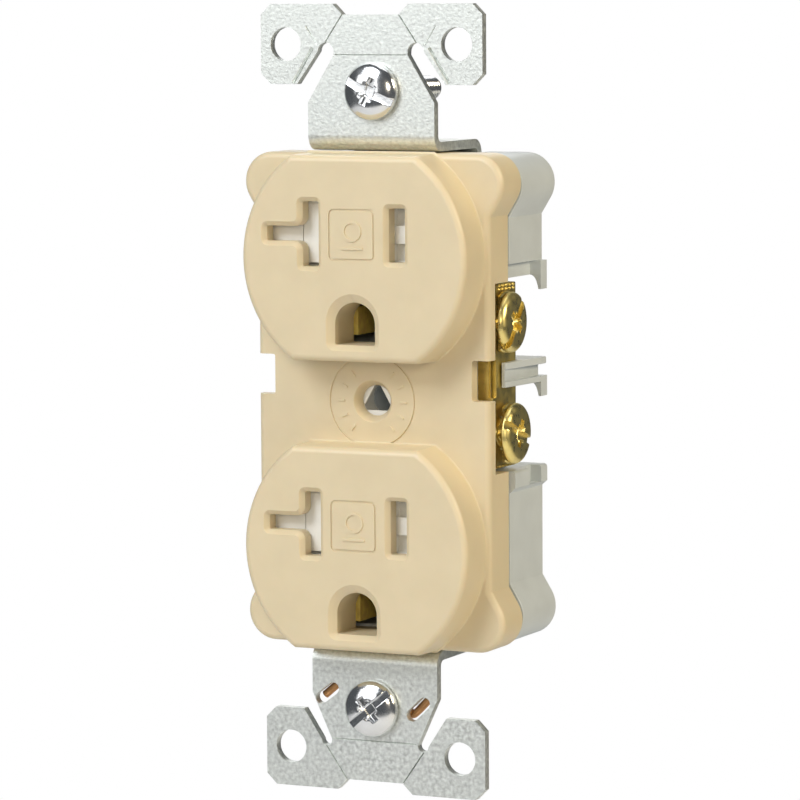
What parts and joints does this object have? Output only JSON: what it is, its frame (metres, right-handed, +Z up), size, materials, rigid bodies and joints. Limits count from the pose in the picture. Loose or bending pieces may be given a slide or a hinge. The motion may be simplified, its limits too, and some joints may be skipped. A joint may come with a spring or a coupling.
{
  "type": "duplex wall outlet",
  "caption": "Duplex wall outlet with T-slot sockets, spring shutters, side screw terminals and a steel strap with ears that wraps round its body.",
  "frame": {"origin": "centre of the wall plate's screw hole, midway between the mounting screws, in the plane of the strap's front face", "axes": "+Z up along the strap, +Y into the wall, +X to the right as seen from the room"},
  "size_m": [0.0383, 0.025, 0.1062],
  "materials": {
    "ivory_plastic": "moulded nylon, satin",
    "grey_plastic": "moulded nylon, satin",
    "zinc_steel": "zinc-coated sheet with fine mottling",
    "brass_screw": "bright turned brass",
    "nickel_screw": "nickel-plated brass",
    "green_screw": "green-dyed plated steel",
    "brass_contact": "stamped sheet brass",
    "white_plastic": "white nylon",
    "natural_plastic": "natural nylon",
    "bright_steel": "bright zinc-plated steel",
    "spring_steel": "spring wire",
    "bronze_wire": "phosphor-bronze wire",
    "fibre": "vulcanised fibre sheet"
  },
  "bodies": {
    "outlet_body": {"front_cover": "ivory_plastic", "rear_base": "grey_plastic", "mounting_strap": "zinc_steel", "hot_contact": "brass_contact", "neutral_contact": "brass_contact", "ground_contact_upper": "brass_contact", "ground_contact_lower": "brass_contact", "ground_rivet_upper": "brass_contact", "ground_rivet_lower": "brass_contact", "screw_catch": "white_plastic", "upper_shutter_tray": "natural_plastic", "lower_shutter_tray": "natural_plastic", "body_screw_top_left": "bright_steel", "body_screw_top_right": "bright_steel", "body_screw_bottom_left": "bright_steel", "body_screw_bottom_right": "bright_steel", "upper_slide_spring": "spring_steel", "upper_arm_spring": "spring_steel", "lower_slide_spring": "spring_steel", "lower_arm_spring": "spring_steel", "grounding_clip": "bronze_wire"},
    "hot_upper_clamp": {"hot_washer_upper": "brass_screw"},
    "hot_upper_screw": {"hot_screw_upper": "brass_screw"},
    "hot_lower_clamp": {"hot_washer_lower": "brass_screw"},
    "hot_lower_screw": {"hot_screw_lower": "brass_screw"},
    "neutral_upper_clamp": {"neutral_washer_upper": "nickel_screw"},
    "neutral_upper_screw": {"neutral_screw_upper": "nickel_screw"},
    "neutral_lower_clamp": {"neutral_washer_lower": "nickel_screw"},
    "neutral_lower_screw": {"neutral_screw_lower": "nickel_screw"},
    "ground_clamp": {"ground_washer": "green_screw"},
    "ground_screw": {"ground_screw": "green_screw"},
    "top_screw_washer": {"retaining_washer": "fibre"},
    "top_mounting_screw": {"mounting_screw_top": "bright_steel"},
    "bottom_mounting_screw": {"mounting_screw_bottom": "bright_steel"},
    "upper_slide": {"upper_shutter_slide": "white_plastic"},
    "upper_arm": {"upper_arm_shutter": "white_plastic"},
    "lower_slide": {"lower_shutter_slide": "white_plastic"},
    "lower_arm": {"lower_arm_shutter": "white_plastic"}
  },
  "joints": [
    {"name": "hot_upper_clamp_lift", "type": "slide", "parent": "outlet_body", "child": "hot_upper_clamp", "axis": [1, 0, 0], "range_m": [0, 0.0025]},
    {"name": "hot_upper_screw_turn", "type": "hinge", "parent": "hot_upper_clamp", "child": "hot_upper_screw", "pos_m": [0.01645, 0.0066, 0.01065], "axis": [1, 0, 0], "range_deg": [0, 1134]},
    {"name": "hot_lower_clamp_lift", "type": "slide", "parent": "outlet_body", "child": "hot_lower_clamp", "axis": [1, 0, 0], "range_m": [0, 0.0025]},
    {"name": "hot_lower_screw_turn", "type": "hinge", "parent": "hot_lower_clamp", "child": "hot_lower_screw", "pos_m": [0.017, 0.0066, -0.00425], "axis": [1, 0, 0], "range_deg": [0, 1134]},
    {"name": "neutral_upper_clamp_lift", "type": "slide", "parent": "outlet_body", "child": "neutral_upper_clamp", "axis": [-1, 0, 0], "range_m": [0, 0.0025]},
    {"name": "neutral_upper_screw_turn", "type": "hinge", "parent": "neutral_upper_clamp", "child": "neutral_upper_screw", "pos_m": [-0.0163, 0.0066, 0.01065], "axis": [-1, 0, 0], "range_deg": [0, 1134]},
    {"name": "neutral_lower_clamp_lift", "type": "slide", "parent": "outlet_body", "child": "neutral_lower_clamp", "axis": [-1, 0, 0], "range_m": [0, 0.0025]},
    {"name": "neutral_lower_screw_turn", "type": "hinge", "parent": "neutral_lower_clamp", "child": "neutral_lower_screw", "pos_m": [-0.0163, 0.0066, -0.00425], "axis": [-1, 0, 0], "range_deg": [0, 1134]},
    {"name": "ground_clamp_lift", "type": "slide", "parent": "outlet_body", "child": "ground_clamp", "axis": [-1, 0, 0], "range_m": [0, 0.0025]},
    {"name": "ground_screw_turn", "type": "hinge", "parent": "ground_clamp", "child": "ground_screw", "pos_m": [-0.01735, 0.0108, -0.0214], "axis": [-1, 0, 0], "range_deg": [0, 1134]},
    {"name": "top_screw_shift", "type": "slide", "parent": "outlet_body", "child": "top_screw_washer", "axis": [1, 0, 0], "range_m": [-0.0016, 0.0009]},
    {"name": "top_mounting_screw_turn", "type": "hinge", "parent": "top_screw_washer", "child": "top_mounting_screw", "pos_m": [0.00035, 0, 0.0415], "axis": [0, 1, 0], "continuous": true},
    {"name": "bottom_mounting_screw_turn", "type": "hinge", "parent": "outlet_body", "child": "bottom_mounting_screw", "pos_m": [-0.0002, 0, -0.04167], "axis": [0, 1, 0], "continuous": true},
    {"name": "upper_shutter_open", "type": "slide", "parent": "outlet_body", "child": "upper_slide", "axis": [1, 0, 0], "range_m": [0, 0.0038], "stiffness_N_per_m": 60, "springref_m": -0.002},
    {"name": "upper_arm_shutter_open", "type": "slide", "parent": "outlet_body", "child": "upper_arm", "axis": [0, 0, -1], "range_m": [0, 0.0038], "stiffness_N_per_m": 60, "springref_m": -0.002, "deforming": ["upper_arm_spring"]},
    {"name": "lower_shutter_open", "type": "slide", "parent": "outlet_body", "child": "lower_slide", "axis": [1, 0, 0], "range_m": [0, 0.0038], "stiffness_N_per_m": 60, "springref_m": -0.002},
    {"name": "lower_arm_shutter_open", "type": "slide", "parent": "outlet_body", "child": "lower_arm", "axis": [0, 0, -1], "range_m": [0, 0.0038], "stiffness_N_per_m": 60, "springref_m": -0.002, "deforming": ["lower_arm_spring"]}
  ],
  "couplings": [
    {"joint": "hot_upper_screw_turn", "follows": "hot_upper_clamp_lift", "rad_per_m": 7913.3},
    {"joint": "hot_lower_screw_turn", "follows": "hot_lower_clamp_lift", "rad_per_m": 7913.3},
    {"joint": "neutral_upper_screw_turn", "follows": "neutral_upper_clamp_lift", "rad_per_m": 7913.3},
    {"joint": "neutral_lower_screw_turn", "follows": "neutral_lower_clamp_lift", "rad_per_m": 7913.3},
    {"joint": "ground_screw_turn", "follows": "ground_clamp_lift", "rad_per_m": 7913.3},
    {"joint": "upper_arm_shutter_open", "follows": "upper_shutter_open", "ratio": 1},
    {"joint": "lower_arm_shutter_open", "follows": "lower_shutter_open", "ratio": 1}
  ]
}
